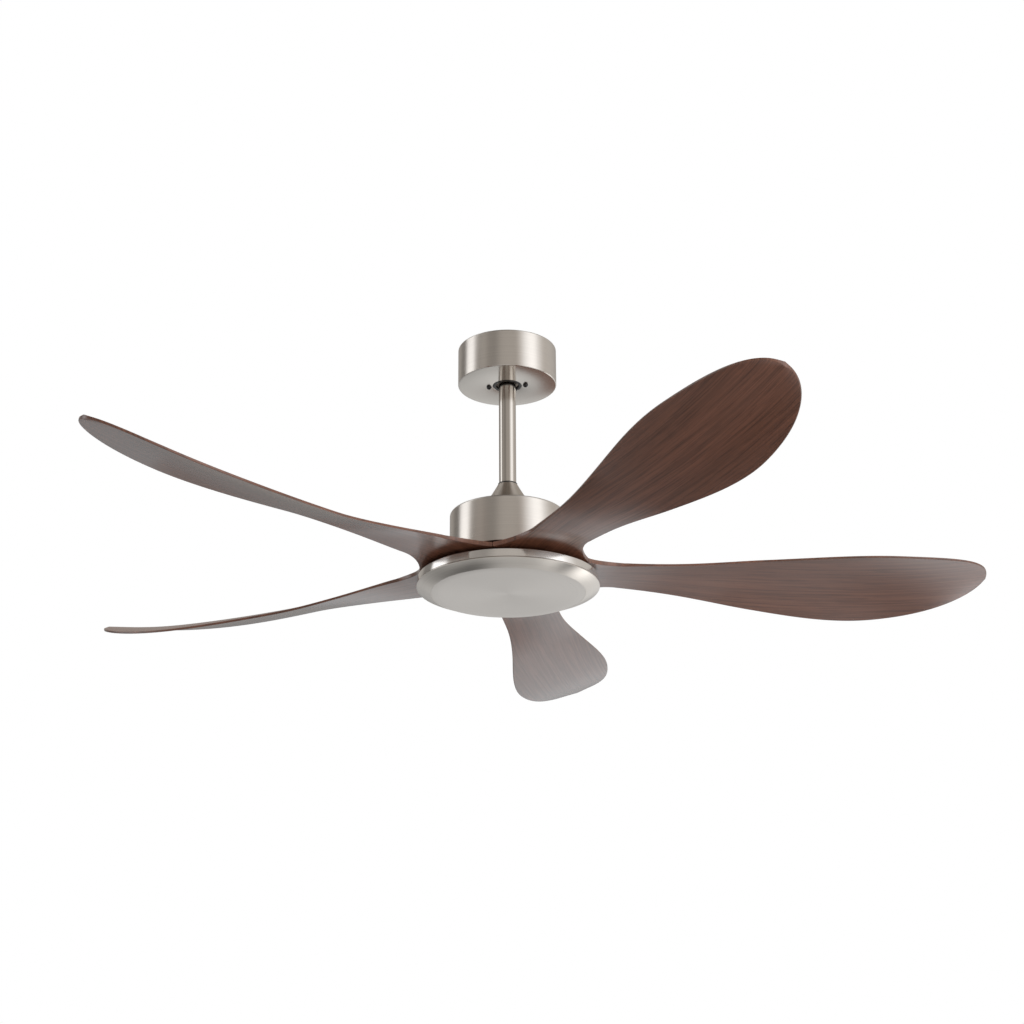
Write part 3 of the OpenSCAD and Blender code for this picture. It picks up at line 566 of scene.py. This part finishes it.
def half_chord(x):
    """The root is cut beside its neighbour, a fillet runs to the waist, then the blade widens and closes."""
    if x <= crotch_x:
        return x * math.tan(half_sector) - SEAM / 2 / math.cos(half_sector)
    if x < flare_x:
        width = flare_y - math.sqrt(flare_r ** 2 - (flare_x - x) ** 2) - SEAM / 2
    else:
        width = WAIST / 2 + (BELLY - WAIST) / 2 * smooth((x - WAIST_X) / (BELLY_X - WAIST_X))
    return width * math.sqrt(max(1 - (x / TIP_R) ** TIP_POWER, 0))


def blade_edge(x):
    return EDGE_T + (ROOT_T - EDGE_T) * smooth((WAIST_X - x) / (WAIST_X - crotch_x))


def blade_section(x, across=28, round_steps=5):
    """Points (place across the chord, height) round the blade's section, edges rounded."""
    half, edge = half_chord(x), blade_edge(x)
    crown = CROWN / 2 * smooth((x - crotch_x) / crotch_x)
    bevel = min(edge / 2, half)
    rounding = bevel * (ROUNDING + ROUNDING_GAIN * smooth((x - crotch_x) / (BELLY_X - crotch_x)))
    flat = half - rounding

    def height(s):
        return edge / 2 + crown * (1 - (s / max(half, 1e-6)) ** 2)

    top = [(s, height(s)) for s in
           (flat * math.sin(math.pi / 2 * (2 * i / across - 1)) for i in range(across + 1))]
    low = height(flat)
    quarter = [math.pi / 2 * i / (round_steps + 1) for i in range(1, round_steps + 1)]
    right = [(flat + rounding * math.sin(a), low - rounding * (1 - math.cos(a))) for a in quarter]
    side = right + [(half, 0.0)] + [(s, -h) for s, h in reversed(right)]
    upper = top + side
    lower = [(s, -h) for s, h in reversed(top)] + [(-s, -h) for s, h in side]
    arch = 4 * CAMBER / BELLY ** 2 * smooth((x - CROTCH_R) / (WAIST_X - CROTCH_R))
    return [(s, h + arch * (half * half - s * s)) for s, h in upper + lower]


def blade_stations():
    """Places along the blade: even at the root, closer where the fillet starts and towards the tip."""
    root_steps, flare_steps, outer_steps = 6, 24, 110
    end = TIP_R * LAST_STATION
    root = [ROOT_X + (crotch_x - ROOT_X) * i / root_steps for i in range(root_steps + 1)]
    flare = [crotch_x + (flare_x - crotch_x) * (i / flare_steps) ** 1.6
             for i in range(1, flare_steps + 1)]
    outer = [flare_x + (end - flare_x) * math.sin(math.pi / 2 * i / outer_steps)
             for i in range(1, outer_steps + 1)]
    return root + flare + outer


def blade_mesh(name, middle_z):
    points, rings = [], []
    for x in blade_stations():
        pitch, z = blade_pitch(x), middle_z + blade_rise(x)
        section = blade_section(x)
        rings.append(range(len(points), len(points) + len(section)))
        points += [(x, s * math.cos(pitch) + h * math.sin(pitch),
                    z - s * math.sin(pitch) + h * math.cos(pitch)) for s, h in section]
    faces = []
    count = len(rings[0])
    for low, high in zip(rings, rings[1:]):
        faces += [[low[i], low[(i + 1) % count], high[(i + 1) % count], high[i]]
                  for i in range(count)]
    faces += [list(reversed(rings[0])), list(rings[-1])]
    mesh = mesh_from(name, points, faces)
    heal(mesh)
    return mesh


def make_blades():
    middle_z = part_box("blade_gaskets")[0].z - ROOT_T / 2
    for number in range(1, BLADES + 1):
        name = f"walnut_blade_{number}"
        turn = math.radians(REST_ANGLE + 360 / BLADES * (number - 1))
        finish_mesh(name, blade_mesh(name, middle_z), walnut(number), "rotor", f"blade_{number}", turn)


# ---- studio ----

FLOOR_Z, FLOOR_HALF = -2.4, 30.0
CAMERA_TURN = 7.08      # degrees from the fan's own front to the camera's
CAMERA_SIDE, CAMERA_BACK, CAMERA_DROP = 0.0565, 2.9262, 0.9949      # from the middle of the cover disc
CAMERA_PITCH, CAMERA_YAW, CAMERA_ROLL = 21.07, -0.98, -0.30         # degrees
LENS, SENSOR = 71.49, 36.0                                          # millimetres


def look_matrix(pitch, yaw, roll):
    """Camera axes for a view along +Y that is pitched up, yawed towards +X and rolled, in degrees."""
    return (Matrix.Rotation(math.radians(-yaw), 4, "Z")
            @ Matrix.Rotation(math.radians(90 + pitch), 4, "X")
            @ Matrix.Rotation(math.radians(roll), 4, "Z"))


def make_camera():
    data = bpy.data.cameras.new("camera")
    data.lens, data.sensor_width = LENS, SENSOR
    data.clip_end = 100
    camera = place_object("camera", data)
    around = Matrix.Rotation(math.radians(CAMERA_TURN), 4, "Z")
    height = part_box("cover_disc")[0].z - CAMERA_DROP
    place = Matrix.Translation((CAMERA_SIDE, -CAMERA_BACK, height))
    camera.matrix_world = around @ place @ look_matrix(CAMERA_PITCH, CAMERA_YAW, CAMERA_ROLL)
    bpy.context.scene.camera = camera


# Brightness of the studio that the metal and the lacquer reflect. Behind the fan and below the horizon
# it goes by elevation, in degrees, in four sectors from left to right
LOW_FAR_LEFT = [(-90, 0.66), (-70, 0.66), (-53, 0.50), (-40, 0.36), (-26, 0.48), (-18, 0.70), (-13, 0.56),
                (-6, 0.55), (0, 0.50), (4, 0.34), (8, 0.24), (12, 0.18)]
LOW_LEFT = [(-90, 0.66), (-76, 0.66), (-66, 0.25), (-59, 0.03), (-49, 0.0), (-37, 0.02), (-31, 0.20),
            (-26, 0.54), (-18, 0.78), (-14, 0.46), (-6, 0.52), (0, 0.48), (4, 0.34), (8, 0.22), (12, 0.16)]
LOW_RIGHT = [(-90, 0.66), (-76, 0.72), (-64, 0.50), (-58, 0.20), (-52, 0.95), (-44, 0.66), (-38, 0.58),
             (-30, 0.66), (-24, 0.70), (-19, 0.88), (-14, 0.80), (-6, 0.86), (1, 0.56), (6, 0.40), (12, 0.22)]
LOW_FAR_RIGHT = [(-90, 1.0), (-70, 1.50), (-60, 1.60), (-55, 0.80), (-52, 0.05), (-45, 0.0), (-42, 1.10),
                 (-39, 2.30), (-34, 1.90), (-27, 0.95), (-18, 0.86), (-6, 0.92), (1, 0.56), (6, 0.40),
                 (12, 0.22)]
SECTOR_EDGES = ((-0.34, -0.27), (-0.13, -0.05), (0.20, 0.29))   # sideways part of the direction
# The same on the camera's side
LOW_FRONT = [(-90, 0.66), (-70, 0.62), (-55, 0.62), (-40, 0.80), (-30, 0.80)]
# Higher up it goes by azimuth, in degrees, 0 towards the camera and positive to the right: a strip on
# the left and a softbox on the right
HIGH = [(-180, 0.34), (-165, 0.36), (-156, 0.46), (-138, 0.46), (-127, 0.24), (-110, 0.26), (-106, 1.75),
        (-84, 1.70), (-77, 0.50), (-70, 0.36), (-55, 0.53), (-42, 0.38), (-27, 0.36), (-12, 0.55), (8, 0.58),
        (23, 0.56), (31, 0.80), (45, 1.45), (56, 1.80), (68, 1.85), (78, 1.25), (95, 0.74), (128, 0.68),
        (150, 0.50), (180, 0.34)]
# What that is multiplied by, by elevation
HIGH_BY_ELEVATION = [(-90, 1.0), (40, 1.0), (55, 0.70), (90, 0.35)]
# Where one part of the studio blends into the next, as a part of the direction: from the front to the
# back of the fan, and from low to high on the camera's side and behind the fan
FRONT_TO_BACK, FRONT_TO_HIGH, BACK_TO_HIGH = (0.05, 0.42), (-0.62, -0.45), (0.08, 0.20)
BRIGHTEST = 2.5         # what 1 stands for in the ramps, which hold at most 1
WARM, NEUTRAL, COOL = (1.0, 0.95, 0.89), (0.985, 1.0, 1.015), (0.985, 1.0, 1.01)
AMBIENT, SOFTBOX = 0.6, 1.4     # brightness up to which the light is warm, and from which it is neutral
SIDE_GAIN = 0.20        # how much brighter the right is than the middle, below the horizon
WHITE = (1.0, 1.0, 1.0)


class World(Nodes):
    """The world's node tree."""

    def __init__(self, name):
        world = bpy.data.worlds.new(name)
        bpy.context.scene.world = world
        world.use_nodes = True
        super().__init__(world.node_tree)

    def dot(self, vector, direction):
        node = self.add("VectorMath", operation="DOT_PRODUCT")
        node.inputs[1].default_value = direction
        self.link(vector, node.inputs[0])
        return node.outputs["Value"]

    def step(self, value, low, high):
        """A smooth change from 0 to 1."""
        node = self.add("MapRange", interpolation_type="SMOOTHSTEP")
        node.inputs["From Min"].default_value = low
        node.inputs["From Max"].default_value = high
        self.link(value, node.inputs["Value"])
        return node.outputs["Result"]

    def by_elevation(self, height, stops, tint=WHITE, full=1.0):
        """height is the direction's Z, as 0 to 1. full is what 1 stands for in the ramp."""
        return self.ramp(height, [((math.sin(math.radians(e)) + 1) / 2, [g * t / full for t in tint])
                                  for e, g in stops])

    def by_azimuth(self, around, stops):
        """around is the azimuth, as 0 to 1. The ambient is warm and the softboxes are neutral."""
        colours = []
        for azimuth, grey in stops:
            neutral = min(max((grey - AMBIENT) / (SOFTBOX - AMBIENT), 0), 1)
            colours.append((azimuth / 360 + 0.5, [grey / BRIGHTEST * (w + (n - w) * neutral)
                                                  for w, n in zip(WARM, NEUTRAL)]))
        return self.ramp(around, colours)


def make_world():
    """Plain studio: white behind the object, a bright sweep low down, softboxes high up."""
    world = World("studio")
    place = world.add("TexCoord").outputs["Generated"]
    turn = math.radians(CAMERA_TURN)
    right = world.dot(place, (math.cos(turn), math.sin(turn), 0))
    back = world.dot(place, (-math.sin(turn), math.cos(turn), 0))
    up = world.dot(place, (0, 0, 1))
    height = world.math("MULTIPLY", world.math("ADD", up, 1.0), 0.5)
    sectors = [world.by_elevation(height, stops, COOL, BRIGHTEST)
               for stops in (LOW_FAR_LEFT, LOW_LEFT, LOW_RIGHT, LOW_FAR_RIGHT)]
    low_back = sectors[0]
    for sector, edges in zip(sectors[1:], SECTOR_EDGES):
        low_back = world.mix(world.step(right, *edges), low_back, sector)
    gain = world.add("VectorMath", operation="SCALE")
    world.link(low_back, gain.inputs[0])
    world.link(world.math("ADD", world.math("MULTIPLY", right, SIDE_GAIN), 1.0), gain.inputs["Scale"])
    low_front = world.by_elevation(height, LOW_FRONT, COOL, BRIGHTEST)
    azimuth = world.math("ARCTAN2", right, world.math("MULTIPLY", back, -1.0))
    around = world.math("ADD", world.math("MULTIPLY", azimuth, 0.5 / math.pi), 0.5)
    high = world.mix(1.0, world.by_azimuth(around, HIGH), world.by_elevation(height, HIGH_BY_ELEVATION),
                     "MULTIPLY")
    front = world.mix(world.step(up, *FRONT_TO_HIGH), low_front, high)
    behind = world.mix(world.step(up, *BACK_TO_HIGH), gain.outputs["Vector"], high)
    both = world.mix(world.step(back, *FRONT_TO_BACK), front, behind)
    lit = world.mix(1.0, both, (BRIGHTEST,) * 3, "MULTIPLY")
    seen = world.add("LightPath").outputs["Is Camera Ray"]
    world.link(world.mix(seen, lit, WHITE), world.tree.nodes["Background"].inputs["Color"])


def make_floor():
    mesh = mesh_from("floor", [(x * FLOOR_HALF, y * FLOOR_HALF, FLOOR_Z) for x, y in
                               ((-1, -1), (1, -1), (1, 1), (-1, 1))], [[0, 1, 2, 3]])
    floor = place_object("floor", mesh)
    shader = Shader("pale_floor", Roughness=0.8)
    shader.drive("Base Color", shader.noise(shader.coords((0.6, 0.6, 0.6))),
                 [(0.3, (0.80, 0.80, 0.80)), (0.7, (0.84, 0.84, 0.84))])
    mesh.materials.append(shader.material)
    floor.visible_glossy = False


def area_light(name, place, size, power):
    """A square light that aims at the foot of the motor. Neither the camera nor the metal sees it."""
    data = bpy.data.lights.new(name, "AREA")
    data.size, data.energy = size, power
    light = place_object(name, data)
    light.location = place
    aim = Vector((0, 0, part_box("motor_housing")[0].z)) - light.location
    light.rotation_mode = "QUATERNION"
    light.rotation_quaternion = aim.to_track_quat("-Z", "Y")
    light.visible_glossy = False
    light.visible_camera = False


def make_studio():
    bpy.context.scene.view_settings.view_transform = "Standard"
    make_world()
    make_floor()
    area_light("key", (1.5, -2.6, 1.2), size=2.0, power=50)
    area_light("top", (0.2, 0.3, 1.5), size=3.0, power=90)
    area_light("low_right", (2.3, -2.2, -1.9), size=1.6, power=60)


dress_cad()
make_canopy()
make_canopy_ring()
make_canopy_screws()
make_downrod()
make_coupling_cover()
make_motor_housing()
make_trim_pan()
make_bevel_ring()
make_cover_disc()
make_blades()
make_camera()
make_studio()
